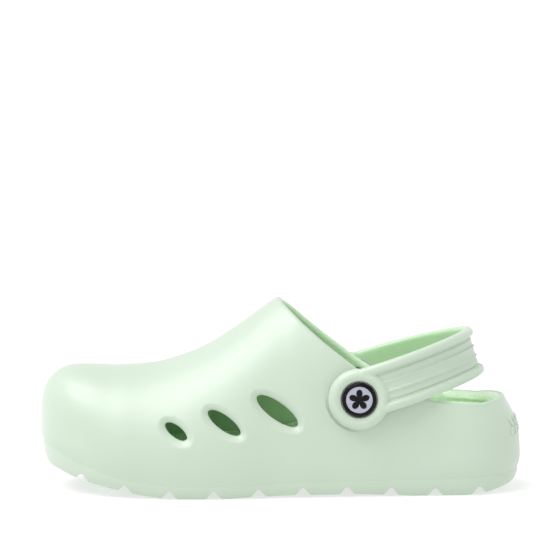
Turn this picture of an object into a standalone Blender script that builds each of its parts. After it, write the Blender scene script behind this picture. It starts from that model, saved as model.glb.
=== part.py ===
"""Rubber garden clog, left foot, about EU 38.

The toe points along -X, the outer (lateral) side of the foot is -Y, and +Z is up. The origin is on the ground in
the middle of the footprint. Shapes are worked out in millimetres and stored in metres.

A few curves along the clog describe its outer shape: the plan outline, the height of the crown, how square the
cross-section is, and the line of the collar. Every skin of the body, the outsole and the footbed follows them.
The heel strap is one flat section carried round the heel, and it swings on a rivet at each side.
"""

import math

import bmesh
import bpy
import numpy as np
from mathutils import Matrix, Vector

MM = 0.001

# ---- Driving dimensions, in millimetres -------------------------------------------------------------

LENGTH = 256.0
TOE_TIP = -LENGTH / 2
HEEL_TIP = LENGTH / 2
TOE_CAP = 50.0  # length of the rounded toe in plan
HEEL_CAP = 36.0
CAP_POWER = 2.25  # squareness of the rounded ends in plan
GAP = 0.3  # between pieces that touch

WALL = 4.4  # thickness of the upper
HEEL_WALL = 5.6
SIDE_TUCK = 1.3  # the side wall draws in this much from its widest line down to the sole seam
TREAD_TUCK = 4.2  # and the outsole this much more, down to the tread

FOOTBED_THICKNESS = 4.0
FOOTBED_CUP_WALL = 1.8
FOOTBED_SIDE_GAP = 0.8

PIVOT_X, PIVOT_Z = 41.0, 52.0  # the strap's hinge line runs along Y through this point
SEAT_FACE = 39.4  # half the distance between the flat seats that the strap's discs turn on
SEAT_RADIUS = 13.0
FLAT_RADIUS = 17.4  # the body wall is flattened this far round the hinge, clear of the discs
INNER_SEAT_FACE = 34.6  # the same for the flats inside, under the rivet flanges
INNER_SEAT_RADIUS = 8.6

STRAP_TILT = math.radians(17.1)  # the strap stands this far above level
STRAP_REACH = 65.6  # from the hinge line to the back of the strap's middle line
STRAP_HALF_WIDTH = 12.9
STRAP_RISE = 2.1  # the band runs this far above the line through the hinge
STRAP_THICKNESS = 5.4
STRAP_WEB = 3.2  # thickness between the two rails
STRAP_RAIL = 5.0  # width of a rail
STRAP_DISC_RADIUS = 16.0
STRAP_DISC_THICKNESS = 5.5
STRAP_SEAT = 3.2  # thickness of the disc under the rivet head
STRAP_FACE = SEAT_FACE + 0.5  # half the distance between the inner faces of the two discs

RIVET_HEAD_RADIUS = 8.9
RIVET_HEAD_HEIGHT = 2.5
RIVET_SHANK_RADIUS = 4.0
RIVET_PIN_RADIUS = 2.2
RIVET_FLANGE_RADIUS = 7.6
RIVET_FLANGE_THICKNESS = 2.2
BORE_RADIUS = RIVET_SHANK_RADIUS + 0.4
EMBLEM_RADIUS = 7.0
EMBLEM_THICKNESS = 0.7
EMBLEM_RECESS = 1.2

VENTS = (  # centre x, centre z, half length, half width
    (-53.8, 35.2, 6.7, 3.0),
    (-28.9, 39.6, 10.1, 3.7),
    (-1.4, 45.4, 12.9, 4.4),
)
VENT_SLOPE = math.radians(-36)  # their long axes drop towards the heel
VENT_CHAMFER = 1.8

GROOVE_PITCH = 23.1
GROOVE_COUNT = 10
FIRST_GROOVE_X = -103.6
GROOVE_DEPTH = 4.3
GROOVE_HALF_WIDTH = 5.2

COLUMNS = 68  # points round the plan outline, an even number
SIDES = ((-1, "lateral_"), (1, "medial_"))

# ---- Curves along the clog, as (x, value) -----------------------------------------------------------

HALF_WIDTH = (
    (-128, 43), (-100, 45.5), (-78, 47.5), (-50, 49), (-25, 46.5), (0, 43), (25, 41), (45, 39.4), (70, 37.2),
    (92, 35.6), (128, 34),
)
CENTRE_LINE = ((-128, 6.5), (-100, 4.5), (-75, 1.8), (-50, 0), (-20, -1.2), (10, -0.8), (40, 0), (128, 0))
CROWN = (
    (-128, 72.5), (-122, 71.8), (-113, 70.3), (-104, 68.2), (-96, 66.6), (-87, 65.3), (-79, 65.4), (-70, 66.3),
    (-62, 67.8), (-53, 70.6), (-45, 73.7), (-36, 78.1), (-28, 83.2), (-19, 89.4), (-10.5, 95.8), (-2, 101.6),
    (10, 107.5), (30, 108.5), (50, 100), (70, 87), (90, 73), (110, 62), (128, 58.5),
)
SQUARENESS = (
    (-128, 3.3), (-115, 3.0), (-100, 2.5), (-85, 2.15), (-60, 2.0), (0, 2.05), (25, 2.3), (45, 2.5), (80, 2.5),
    (128, 2.4),
)
BELLY = ((-128, 31), (-112, 27), (-90, 21.5), (-60, 18), (0, 18), (60, 19), (128, 18))  # height of the widest line
SEAM = (
    (-128, 26.6), (-120, 23.4), (-109, 18.6), (-98, 14.6), (-85, 11), (-70, 8.4), (-50, 7), (-20, 7.4), (20, 8.4),
    (80, 9.2), (105, 10), (120, 11.2), (128, 12.4),
)
COLLAR = (
    (-2, 100.4), (5.3, 93.9), (10.5, 89.2), (21, 79.9), (31.2, 71.8), (42.6, 63.2), (54, 56.4), (64, 52.6),
    (73, 49.9), (83, 47.6), (94, 46.4), (105, 46.3), (113.5, 47.6), (128, 50),
)
COLLAR_OVER = (  # for each x on the plan outline, the x of the collar point above it
    (-128, -2), (-100, 0.4), (-60, 6), (-20, 16), (20, 33), (50, 53), (75, 75.5), (92, 91.5), (128, 120),
)
FLOOR = (
    (-128, 36), (-118, 30), (-105, 24.5), (-85, 19), (-60, 16), (-30, 16.4), (0, 18.6), (30, 21.6), (60, 23.6),
    (90, 24.4), (128, 25),
)
FOOTBED_LIP = ((-128, 6), (-60, 6), (0, 9), (50, 15), (80, 17), (128, 17))  # height of its edge above the floor
TREAD = (
    (-128, 13), (-122, 12), (-112, 9.2), (-100, 6.4), (-92, 4.9), (-85, 3.6), (-73, 1.5), (-62, 0.4), (-52, 0),
    (-28, 0), (-14, 0.5), (6, 1.1), (40, 1.1), (60, 0.5), (70, 0), (96, 0), (104, 0.3), (112, 1.2), (120, 2.8),
    (128, 4.4),
)
GROOVE_PROFILE = (  # across in half widths, rise in depths
    (-1.5, -1.2), (-1, -0.3), (-0.62, 0.22), (-0.3, 0.72), (-0.1, 1), (0.1, 1), (0.3, 0.72), (0.62, 0.22),
    (1, -0.3), (1.5, -1.2),
)


def curve_through(stations):
    """A smooth curve through (x, value) stations that never swings past them, held level beyond the ends."""
    xs, values = np.array(stations, float).T
    rates = np.diff(values) / np.diff(xs)
    before, after = rates[:-1], rates[1:]
    same_way = before * after > 0
    total = np.where(same_way, before + after, 1)
    inner = np.where(same_way, 2 * before * after / total, 0)
    slopes = np.concatenate([rates[:1], inner, rates[-1:]])

    def value(x):
        x = np.clip(np.asarray(x, float), xs[0], xs[-1])
        i = np.clip(np.searchsorted(xs, x, side="right") - 1, 0, len(xs) - 2)
        span = xs[i + 1] - xs[i]
        t = (x - xs[i]) / span
        keep = 2 * t**3 - 3 * t**2 + 1
        leave = t**3 - 2 * t**2 + t
        arrive = t**3 - t**2
        return keep * values[i] + (1 - keep) * values[i + 1] + span * (leave * slopes[i] + arrive * slopes[i + 1])

    return value


half_width = curve_through(HALF_WIDTH)
centre_line = curve_through(CENTRE_LINE)
crown = curve_through(CROWN)
squareness = curve_through(SQUARENESS)
belly = curve_through(BELLY)
seam = curve_through(SEAM)
collar = curve_through(COLLAR)
collar_over = curve_through(COLLAR_OVER)
floor_height = curve_through(FLOOR)
footbed_lip = curve_through(FOOTBED_LIP)
tread = curve_through(TREAD)


# ---- The clog's outer shape --------------------------------------------------------------------------


def end_share(x):
    """0 between the two rounded ends, rising to 1 at each tip."""
    toe = np.clip((TOE_TIP + TOE_CAP - x) / TOE_CAP, 0, None)
    heel = np.clip((x - HEEL_TIP + HEEL_CAP) / HEEL_CAP, 0, None)
    return np.maximum(toe, heel)


def level(x, y):
    """0 on the centre line, growing to 1 on the plan outline."""
    across = np.abs(y - centre_line(x)) / half_width(x)
    return (end_share(x) ** CAP_POWER + across**CAP_POWER) ** (1 / CAP_POWER)


def level_at(x, z):
    """The level at which the outer shape is z high."""
    power = squareness(x)
    rise = np.clip((z - belly(x)) / (crown(x) - belly(x)), 0, 1)
    return (1 - rise**power) ** (1 / power)


def height(x, y):
    """Height of the outer shape above its widest line, as if it had no collar opening."""
    power = squareness(x)
    inside = np.clip(1 - np.minimum(level(x, y), 1) ** power, 0, None)
    return belly(x) + (crown(x) - belly(x)) * inside ** (1 / power)


def side_reach(x, at_level):
    """Distance from the centre line out to a level."""
    inside = np.clip(at_level**CAP_POWER - end_share(x) ** CAP_POWER, 0, None)
    return half_width(x) * inside ** (1 / CAP_POWER)


def outward(points):
    """Unit normals of the outer shape at points on it, level at and below the widest line."""

    def field(x, y, z):
        power = squareness(x)
        rise = np.clip((z - belly(x)) / (crown(x) - belly(x)), 0, None)
        return level(x, y) ** power + rise**power

    x, y, z = np.moveaxis(points, -1, 0)
    z = np.maximum(z, belly(x))
    step = 0.05
    slope = np.stack(
        [
            field(x + step, y, z) - field(x - step, y, z),
            field(x, y + step, z) - field(x, y - step, z),
            np.where(z > belly(x) + step, field(x, y, z + step) - field(x, y, z - step), 0),
        ],
        axis=-1,
    )
    return slope / np.linalg.norm(slope, axis=-1, keepdims=True)


def along_length(count):
    """x of count points from toe tip to heel tip, spaced evenly along the edge of the outline."""
    x = -LENGTH / 2 * np.cos(np.linspace(0, math.pi, 2000))
    y = side_reach(x, np.ones_like(x))
    run = np.concatenate([[0], np.cumsum(np.hypot(np.diff(x), np.diff(y)))])
    return np.interp(np.linspace(0, run[-1], count), run, x)


def both_sides(x, reach):
    """A closed loop in plan: from the toe along the lateral side to the heel, and back along the medial side."""
    lateral = np.stack([x, centre_line(x) - reach], axis=-1)
    medial = np.stack([x, centre_line(x) + reach], axis=-1)
    return np.concatenate([lateral, medial[-2:0:-1]])


EDGE_X = along_length(COLUMNS // 2 + 1)
OUTLINE = both_sides(EDGE_X, side_reach(EDGE_X, np.ones_like(EDGE_X)))


def collar_loop():
    """Plan points of the collar's outer edge, one for each point of the outline."""
    x = collar_over(EDGE_X)
    reach = side_reach(x, level_at(x, collar(x)))
    reach[0] = reach[-1] = 0
    return both_sides(x, reach)


def resampled(path, count):
    """count points spaced evenly along a path."""
    run = np.concatenate([[0], np.cumsum(np.linalg.norm(np.diff(path, axis=0), axis=1))])
    at = np.linspace(0, run[-1], count)
    return np.stack([np.interp(at, run, path[:, axis]) for axis in range(3)], axis=-1)


def outer_paths(upper_steps=160, lower_steps=24, crowding=2.4):
    """For each point of the outline, the path up the outside from the sole seam to the collar."""
    away = outward(np.column_stack([OUTLINE, belly(OUTLINE[:, 0])]))[:, :2]
    share = np.linspace(0, 1, upper_steps)[:, None] ** crowding
    paths = []
    for edge, out, top in zip(OUTLINE, away, collar_loop()):
        plan = edge + share * (top - edge)
        upper = np.column_stack([plan, height(plan[:, 0], plan[:, 1])])
        low, widest = seam(edge[0]), belly(edge[0])
        z = np.linspace(low, widest, lower_steps)[:-1]
        tuck = SIDE_TUCK * ((widest - z) / (widest - low)) ** 2
        lower = np.column_stack([edge - out * tuck[:, None], z])
        paths.append(np.concatenate([lower, upper]))
    return np.array(paths)


OUTER = outer_paths()
NORMALS = outward(OUTER)


def wall_thickness(x):
    return WALL + (HEEL_WALL - WALL) * np.clip((x - 30) / 60, 0, 1)


def outer_loops(rows):
    return list(np.array([resampled(path, rows) for path in OUTER]).transpose(1, 0, 2))


def inner_loops(inset, low, rows, high=None):
    """Loops inset from the outer skin, from height low(x) up to high(x), or to the collar."""
    skin = OUTER - NORMALS * inset(OUTER[..., 0])[..., None]
    loops = []
    for path in skin:
        keep = path[:, 2] >= low(path[:, 0])
        if high:
            keep &= path[:, 2] <= high(path[:, 0])
        part = path[keep]
        first = part[0].copy()
        first[2] = low(first[0])
        loops.append(resampled(np.concatenate([[first], part[1:]]), rows))
    return list(np.array(loops).transpose(1, 0, 2))


def rim_loops(outer, inner, count):
    """Half-round edge from the top of the outer skin over to the top of the inner skin."""
    middle, half = (outer[-1] + inner[-1]) / 2, (outer[-1] - inner[-1]) / 2
    up = outer[-1] - outer[-2]
    up /= np.linalg.norm(up, axis=1, keepdims=True)
    radius = np.linalg.norm(half, axis=1, keepdims=True)
    turns = np.linspace(0, math.pi, count + 2)[1:-1]
    return [middle + half * math.cos(turn) + up * radius * math.sin(turn) for turn in turns]


def drawn_in(loop, share, height_at):
    """The loop drawn in towards the clog's spine, at the height height_at(x)."""
    x = loop[:, 0]
    straight = np.clip(x, TOE_TIP + TOE_CAP, HEEL_TIP - HEEL_CAP)
    spine_x = x + (straight - x) * np.minimum(1, end_share(x) * 1.5)
    plan_x = spine_x + share * (x - spine_x)
    plan_y = centre_line(x) + share * (loop[:, 1] - centre_line(x))
    return np.column_stack([plan_x, plan_y, height_at(plan_x)])


# ---- Building objects --------------------------------------------------------------------------------


def new_object(name, shape, material, location=(0, 0, 0), smooth_angle=35):
    """Turns a bmesh into an object, with its faces pointing out and its curved faces shaded smooth."""
    bmesh.ops.recalc_face_normals(shape, faces=shape.faces)
    mesh = bpy.data.meshes.new(name)
    shape.to_mesh(mesh)
    shape.free()
    mesh.shade_smooth()
    mesh.set_sharp_from_angle(angle=math.radians(smooth_angle))
    obj = bpy.data.objects.new(name, mesh)
    obj.location = location
    bpy.context.scene.collection.objects.link(obj)
    if material:
        mesh.materials.append(material)
    else:
        obj.hide_render = True
        obj.display_type = "WIRE"
    return obj


def boolean(obj, operation, other):
    modifier = obj.modifiers.new(operation.lower() + "_" + other.name, "BOOLEAN")
    modifier.operation = operation
    modifier.solver = "EXACT"
    modifier.object = other


def bridge(shape, first, second):
    """Joins two rings of vertices with faces. A ring of one vertex is a pole."""
    count = max(len(first), len(second))
    for k in range(count):
        n = (k + 1) % count
        if len(first) == 1:
            shape.faces.new((first[0], second[k], second[n]))
        elif len(second) == 1:
            shape.faces.new((first[k], first[n], second[0]))
        else:
            shape.faces.new((first[k], first[n], second[n], second[k]))


def fill_across(shape, ring):
    """Closes a loop round the clog with strips from its lateral to its medial side."""
    half = len(ring) // 2
    shape.faces.new((ring[0], ring[1], ring[-1]))
    for i in range(1, half - 1):
        shape.faces.new((ring[i], ring[i + 1], ring[-i - 1], ring[-i]))
    shape.faces.new((ring[half - 1], ring[half], ring[half + 1]))


def through_loops(name, loops, material):
    """A closed solid through loops round the clog, each with as many points as the next."""
    shape = bmesh.new()
    rings = [[shape.verts.new(Vector(point) * MM) for point in loop] for loop in loops]
    for first, second in zip(rings, rings[1:]):
        bridge(shape, first, second)
    fill_across(shape, rings[0])
    fill_across(shape, rings[-1])
    return new_object(name, shape, material)


def prism(name, rings, material=None):
    """A closed solid through rings of (x, y, z) in millimetres, with a flat face at each end."""
    shape = bmesh.new()
    made = [[shape.verts.new(Vector(point) * MM) for point in ring] for ring in rings]
    for first, second in zip(made, made[1:]):
        bridge(shape, first, second)
    shape.faces.new(made[0])
    shape.faces.new(made[-1])
    return new_object(name, shape, material)


def hinge_rod(name, radius, from_y, to_y, sides=32):
    """A cutter: a cylinder on the hinge line."""
    shape = bmesh.new()
    bmesh.ops.create_cone(
        shape,
        cap_ends=True,
        segments=sides,
        radius1=radius * MM,
        radius2=radius * MM,
        depth=abs(to_y - from_y) * MM,
        matrix=Matrix.Rotation(math.pi / 2, 4, "X"),
    )
    middle = (from_y + to_y) / 2
    return new_object(name, shape, None, (PIVOT_X * MM, middle * MM, PIVOT_Z * MM))


def turned_pair(name, profile, material, sides=32):
    """The two pieces turned about the hinge line. profile holds (radius, distance out from the middle)."""
    pair = []
    for side, word in SIDES:
        shape = bmesh.new()
        rings = []
        for radius, out in profile:
            turns = [2 * math.pi * k / sides for k in range(sides if radius else 1)]
            points = [(radius * math.cos(turn), side * out, radius * math.sin(turn)) for turn in turns]
            rings.append([shape.verts.new(Vector(point) * MM) for point in points])
        for first, second in zip(rings, rings[1:]):
            bridge(shape, first, second)
        pair.append(new_object(word + name, shape, material, (PIVOT_X * MM, 0, PIVOT_Z * MM)))
    return pair


def make_material(name, colour, roughness, metallic=0.0):
    material = bpy.data.materials.new(name)
    material.use_nodes = True
    shader = material.node_tree.nodes["Principled BSDF"]
    shader.inputs["Base Color"].default_value = (*colour, 1)
    shader.inputs["Roughness"].default_value = roughness
    shader.inputs["Metallic"].default_value = metallic
    return material


# ---- Body --------------------------------------------------------------------------------------------


def vent_ring(vent, grow, out, sides=20):
    """An oval on the outer side wall, grown by grow and moved out of the surface by out."""
    x, z, long_half, short_half = vent
    ring = []
    for k in range(sides):
        turn = 2 * math.pi * k / sides
        along = (long_half + grow) * math.cos(turn)
        up = (short_half + grow) * math.sin(turn)
        px = x + along * math.cos(VENT_SLOPE) - up * math.sin(VENT_SLOPE)
        pz = z + along * math.sin(VENT_SLOPE) + up * math.cos(VENT_SLOPE)
        reach = float(side_reach(px, level_at(px, pz)))
        ring.append((px, float(centre_line(px)) - reach - out, pz))
    return ring


def cut_vents(body):
    """Slanted ovals through the outer side wall only, each with a chamfered mouth."""
    for number, vent in enumerate(VENTS):
        rings = [
            vent_ring(vent, 0, -14),
            vent_ring(vent, 0, -VENT_CHAMFER),
            vent_ring(vent, 2 * VENT_CHAMFER, VENT_CHAMFER),
        ]
        boolean(body, "DIFFERENCE", prism(f"vent_{number}", rings))


def make_body(rubber):
    outer = outer_loops(15)
    inner = inner_loops(wall_thickness, floor_height, 11)
    underside = [drawn_in(outer[0], share, seam) for share in (0.55, 0.8)]
    floor = [drawn_in(inner[0], share, floor_height) for share in (0.8, 0.55)]
    body = through_loops("clog_body", underside + outer + rim_loops(outer, inner, 3) + inner[::-1] + floor, rubber)
    cut_vents(body)
    for side, word in SIDES:
        seat = hinge_rod(word + "seat", SEAT_RADIUS, side * (INNER_SEAT_FACE + 2), side * (SEAT_FACE + 2))
        boolean(body, "UNION", seat)
        boolean(body, "DIFFERENCE", hinge_rod(word + "flat", FLAT_RADIUS, side * SEAT_FACE, side * 60))
    boolean(body, "DIFFERENCE", hinge_rod("inner_seats", INNER_SEAT_RADIUS, -INNER_SEAT_FACE, INNER_SEAT_FACE))
    boolean(body, "DIFFERENCE", hinge_rod("rivet_bores", BORE_RADIUS, -60, 60))


# ---- Outsole and footbed -----------------------------------------------------------------------------


def outsole_side(rows):
    """Loops down the outsole's rounded edge, from the seam to the tread."""
    x = OUTLINE[:, 0]
    away = outward(np.column_stack([OUTLINE, belly(x)]))[:, :2]
    top = seam(x) - GAP
    loops = []
    for turn in np.linspace(0, math.pi / 2, rows):
        inset = SIDE_TUCK + TREAD_TUCK * (1 - math.cos(turn))
        loops.append(np.column_stack([OUTLINE - away * inset, top + (tread(x) - top) * math.sin(turn)]))
    return loops


def groove_ring(x, y):
    """The bell-shaped section of one tread groove, square to the tread at x."""
    slope = float(tread(x + 4) - tread(x - 4)) / 8
    ring = []
    for across, rise in GROOVE_PROFILE:
        run = across * GROOVE_HALF_WIDTH
        ring.append((x + run, y, float(tread(x)) + slope * run + rise * GROOVE_DEPTH))
    return ring


def make_outsole(rubber):
    side = outsole_side(5)
    top = [drawn_in(side[0], share, lambda x: seam(x) - GAP) for share in (0.55, 0.8)]
    under = [drawn_in(side[-1], share, tread) for share in (0.8, 0.55)]
    sole = through_loops("outsole", top + side + under, rubber)
    for i in range(GROOVE_COUNT):
        x = FIRST_GROOVE_X + i * GROOVE_PITCH
        boolean(sole, "DIFFERENCE", prism(f"groove_{i}", [groove_ring(x, -60), groove_ring(x, 60)]))


def make_footbed(rubber):
    def under(x):
        return floor_height(x) + GAP

    def top(x):
        return under(x) + FOOTBED_THICKNESS

    def lip(x):
        return floor_height(x) + footbed_lip(x)

    outside = inner_loops(lambda x: wall_thickness(x) + FOOTBED_SIDE_GAP, under, 4, lip)
    inside = inner_loops(lambda x: wall_thickness(x) + FOOTBED_SIDE_GAP + FOOTBED_CUP_WALL, top, 3, lip)
    base = [drawn_in(outside[0], share, under) for share in (0.55, 0.8)]
    face = [drawn_in(inside[0], share, top) for share in (0.8, 0.55)]
    through_loops("footbed", base + outside + inside[::-1] + face, rubber)


# ---- Heel strap --------------------------------------------------------------------------------------


def strap_path(steps):
    """The strap's middle line from the lateral disc round to the medial one, as (reach, y)."""
    span = STRAP_FACE + STRAP_THICKNESS / 2
    handles = np.array([(15, span), (34, span), (STRAP_REACH, 0.48 * span), (STRAP_REACH, 0)])
    t = np.linspace(0, 1, 400)[:, None]
    weights = np.hstack([(1 - t) ** 3, 3 * t * (1 - t) ** 2, 3 * t**2 * (1 - t), t**3])
    half = weights @ handles * (1, -1)
    half = resampled(np.column_stack([half, np.zeros(len(half))]), steps)[:, :2]
    start = np.array([(4, -span)])
    half = np.concatenate([start, half])
    return np.concatenate([half, (half * (1, -1))[-2::-1]])


def strap_section():
    """The band's section as (up across its width, out): two rails with a thinner web between them."""
    side, out = STRAP_HALF_WIDTH, STRAP_THICKNESS / 2
    web = STRAP_WEB - out
    return (
        (-side, 1.4 - out), (-side, out - 1.8), (1.6 - side, out), (STRAP_RAIL - side - 1, out),
        (STRAP_RAIL - side + 0.6, web), (side - STRAP_RAIL - 0.6, web), (side - STRAP_RAIL + 1, out),
        (side - 1.6, out), (side, out - 1.8), (side, 1.4 - out), (side - 1.2, -out), (1.2 - side, -out),
    )


def band_rings():
    """The section carried along the strap's path, in millimetres from the hinge's middle."""
    path = strap_path(15)
    along = np.gradient(path, axis=0)
    along /= np.linalg.norm(along, axis=1, keepdims=True)
    cos_tilt, sin_tilt = math.cos(STRAP_TILT), math.sin(STRAP_TILT)
    rings = []
    for (reach, y), (run, drift) in zip(path, along):
        ring = []
        for up, out in strap_section():
            far, rise = reach + drift * out, up + STRAP_RISE
            ring.append((far * cos_tilt - rise * sin_tilt, y - run * out, far * sin_tilt + rise * cos_tilt))
        rings.append(ring)
    return rings


def make_strap(rubber):
    strap = prism("heel_strap", band_rings(), rubber)
    strap.location = (PIVOT_X * MM, 0, PIVOT_Z * MM)
    outer = STRAP_FACE + STRAP_DISC_THICKNESS
    disc_profile = (
        (0, STRAP_FACE), (STRAP_DISC_RADIUS - 1, STRAP_FACE), (STRAP_DISC_RADIUS, STRAP_FACE + 1.2),
        (STRAP_DISC_RADIUS, outer - 2.1), (STRAP_DISC_RADIUS - 2, outer - 0.2), (STRAP_DISC_RADIUS - 5, outer),
        (0, outer),
    )
    recess = RIVET_HEAD_RADIUS + 0.5
    floor = STRAP_FACE + STRAP_SEAT
    recess_profile = ((0, floor), (recess, floor), (recess, floor + 8), (0, floor + 8))
    for disc in turned_pair("disc", disc_profile, None, 48):
        boolean(strap, "UNION", disc)
    for cutter in turned_pair("head_recess", recess_profile, None, 40):
        boolean(strap, "DIFFERENCE", cutter)
    boolean(strap, "DIFFERENCE", bpy.data.objects["rivet_bores"])


# ---- Rivets ------------------------------------------------------------------------------------------


def make_rivets(black, silver):
    """At each side: a cap whose hollow shank takes a flanged stud's pin, and a silver inlay in the cap's head."""
    head = STRAP_FACE + STRAP_SEAT + GAP
    top = head + RIVET_HEAD_HEIGHT
    inlay = top - EMBLEM_RECESS
    socket_end, shank_end = head - 0.6, INNER_SEAT_FACE + 0.4
    socket = RIVET_PIN_RADIUS + GAP
    cap = (
        (0, socket_end), (socket, socket_end), (socket, shank_end), (RIVET_SHANK_RADIUS, shank_end),
        (RIVET_SHANK_RADIUS, head), (RIVET_HEAD_RADIUS, head), (RIVET_HEAD_RADIUS, top - 0.9),
        (RIVET_HEAD_RADIUS - 0.7, top - 0.1), (EMBLEM_RADIUS + 0.6, top), (EMBLEM_RADIUS + GAP, top - 0.4),
        (EMBLEM_RADIUS + GAP, inlay), (0, inlay),
    )
    turned_pair("rivet_cap", cap, black)
    flange = INNER_SEAT_FACE - GAP
    back = flange - RIVET_FLANGE_THICKNESS
    pin_end = socket_end - GAP
    stud = (
        (0, back), (RIVET_FLANGE_RADIUS - 1.2, back), (RIVET_FLANGE_RADIUS, back + 0.8),
        (RIVET_FLANGE_RADIUS, flange), (RIVET_PIN_RADIUS, flange), (RIVET_PIN_RADIUS, pin_end - 0.7),
        (RIVET_PIN_RADIUS - 0.7, pin_end), (0, pin_end),
    )
    turned_pair("rivet_stud", stud, black)
    base = inlay + GAP
    face = base + EMBLEM_THICKNESS
    turned_pair("rivet_emblem", ((0, base), (EMBLEM_RADIUS, base), (EMBLEM_RADIUS, face), (0, face)), silver)


def main():
    for obj in list(bpy.data.objects):
        bpy.data.objects.remove(obj)
    rubber = make_material("mint_rubber", (0.62, 0.83, 0.61), 0.55)
    footbed_rubber = make_material("footbed_rubber", (0.56, 0.8, 0.53), 0.6)
    black = make_material("black_nylon", (0.012, 0.012, 0.013), 0.25)
    silver = make_material("silver_inlay", (0.55, 0.58, 0.64), 0.35, 0.6)
    make_body(rubber)
    make_outsole(rubber)
    make_footbed(footbed_rubber)
    make_strap(rubber)
    make_rivets(black, silver)


main()
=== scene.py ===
"""Looks of the rubber garden clog.

Every CAD piece is replaced by a finer mesh of the same piece, worked out from the same curves, with rounded
edges, moulded detail and a procedural material. The toe points along -X and the outer side of the foot is -Y.
Shapes are worked out in millimetres and stored in metres.
"""

import math

import bmesh
import bpy
import numpy as np
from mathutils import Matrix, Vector


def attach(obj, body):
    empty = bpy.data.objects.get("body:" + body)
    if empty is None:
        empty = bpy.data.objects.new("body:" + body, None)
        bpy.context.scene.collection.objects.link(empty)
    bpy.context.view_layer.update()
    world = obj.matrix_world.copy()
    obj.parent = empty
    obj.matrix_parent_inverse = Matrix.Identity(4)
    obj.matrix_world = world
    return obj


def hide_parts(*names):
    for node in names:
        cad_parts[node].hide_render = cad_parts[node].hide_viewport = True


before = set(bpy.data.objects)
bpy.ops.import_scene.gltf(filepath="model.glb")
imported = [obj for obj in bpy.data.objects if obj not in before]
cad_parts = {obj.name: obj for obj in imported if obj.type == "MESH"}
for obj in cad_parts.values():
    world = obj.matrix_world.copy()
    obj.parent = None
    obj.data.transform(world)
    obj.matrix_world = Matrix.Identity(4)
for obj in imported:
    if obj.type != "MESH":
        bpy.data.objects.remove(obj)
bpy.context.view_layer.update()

MM = 0.001

# ---- Driving dimensions, in millimetres -------------------------------------------------------------

LENGTH = 256.0
TOE_TIP = -LENGTH / 2
HEEL_TIP = LENGTH / 2
TOE_CAP = 50.0  # length of the rounded toe in plan
HEEL_CAP = 36.0
CAP_POWER = 2.25  # squareness of the rounded ends in plan
GAP = 0.3  # between the rivet's pieces
SEAM_GAP = 0.02  # the parting line between body and outsole

WALL = 4.4  # thickness of the upper
HEEL_WALL = 5.6
HEEL_WALL_START, HEEL_WALL_RUN = 30, 60  # the wall thickens from this x on, over this length
SIDE_TUCK = 1.3  # the side wall draws in this much from its widest line down to the sole seam
TREAD_TUCK = 4.2  # and the outsole this much more, down to the tread

FOOTBED_THICKNESS = 4.0
FOOTBED_CUP_WALL = 1.8
FOOTBED_SIDE_GAP = 0.8
NUB_PITCH = 2.2  # the moulded nubs under the foot

PIVOT_X, PIVOT_Z = 41.0, 52.0  # the strap's hinge line runs along Y through this point
SEAT_FACE = 39.4  # half the distance between the flat seats that the strap's discs turn on
SEAT_RADIUS = 13.0
FLAT_RADIUS = 17.4
INNER_SEAT_FACE = 34.6
INNER_SEAT_RADIUS = 8.6
BEYOND_SIDES = 60.0  # half the length of a cutter that passes right through the clog

STRAP_TILT = math.radians(17.1)
STRAP_REACH = 65.6  # from the hinge line to the back of the strap's middle line
STRAP_RISE = 2.1  # the band runs this far above the line through the hinge
STRAP_THICKNESS = 5.4
STRAP_DISC_RADIUS = 16.0
STRAP_DISC_THICKNESS = 5.5
STRAP_SEAT = 3.2  # thickness of the disc under the rivet head
STRAP_FACE = SEAT_FACE + 0.5
STRAP_VOXEL = 0.36
STRAP_START = 5.5  # how far from the hinge line the band starts, inside its disc
STRAP_WEB_RADIUS = STRAP_DISC_RADIUS - 3.5  # inside this the band is no thicker than the disc's web
STRAP_ARM_HANDLES = (15.0, 34.0)  # reach of the curve's first two handles, both on the side arm
JUNCTION_INSIDE, JUNCTION_OUTSIDE = 12.5, 24.0  # between these radii band and disc are blended together
JUNCTION_ROUNDS = 14

RIVET_HEAD_RADIUS = 8.9
RIVET_HEAD_HEIGHT = 2.5
RIVET_SHANK_RADIUS = 4.0
RIVET_PIN_RADIUS = 2.2
RIVET_FLANGE_RADIUS = 7.6
RIVET_FLANGE_THICKNESS = 2.2
BORE_RADIUS = RIVET_SHANK_RADIUS + 0.4
EMBLEM_RADIUS = 7.0
EMBLEM_THICKNESS = 0.7
EMBLEM_RECESS = 1.2
BLOSSOM_RADIUS = 1.9  # between its petals
PETAL_LENGTH = 3.6

VENTS = (  # centre x, centre z, half length, half width
    (-53.8, 35.2, 6.7, 3.0),
    (-28.9, 39.6, 10.1, 3.7),
    (-1.4, 45.4, 12.9, 4.4),
)
VENT_SLOPE = math.radians(-36)
VENT_MOUTH = (  # grown by, moved out by: from inside the shoe out through the soft-edged mouth
    (0, -14), (0, -2.6), (0.15, -2.2), (0.6, -1.75), (1.5, -1.1), (2.5, -0.5), (3.3, -0.12), (3.9, 0.1),
    (5.6, 1.4), (5.6, 12),
)

SPRIG_PAIRS = 4  # pairs of leaves on each side of the heel
SPRIG_PITCH = 4.6
SPRIG_START = 3.2  # the first pair's distance from the middle
SPRIG_ROWS = (37.6, 33.2)  # heights of the upper and lower leaves
SPRIG_DROOP = 0.35  # how much lower each further pair sits
SPRIG_LEAN = 0.9  # radians
LEAF_HALF_SIZE = (2.7, 1.25)
LEAF_RISE = 0.75
LEAF_RELIEF = (  # the leaf's outline is scaled by the first number where it stands out by the second
    (1, -0.5), (1, 0.35 * LEAF_RISE), (0.9, 0.8 * LEAF_RISE), (0.6, LEAF_RISE), (0.25, LEAF_RISE),
)

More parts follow.
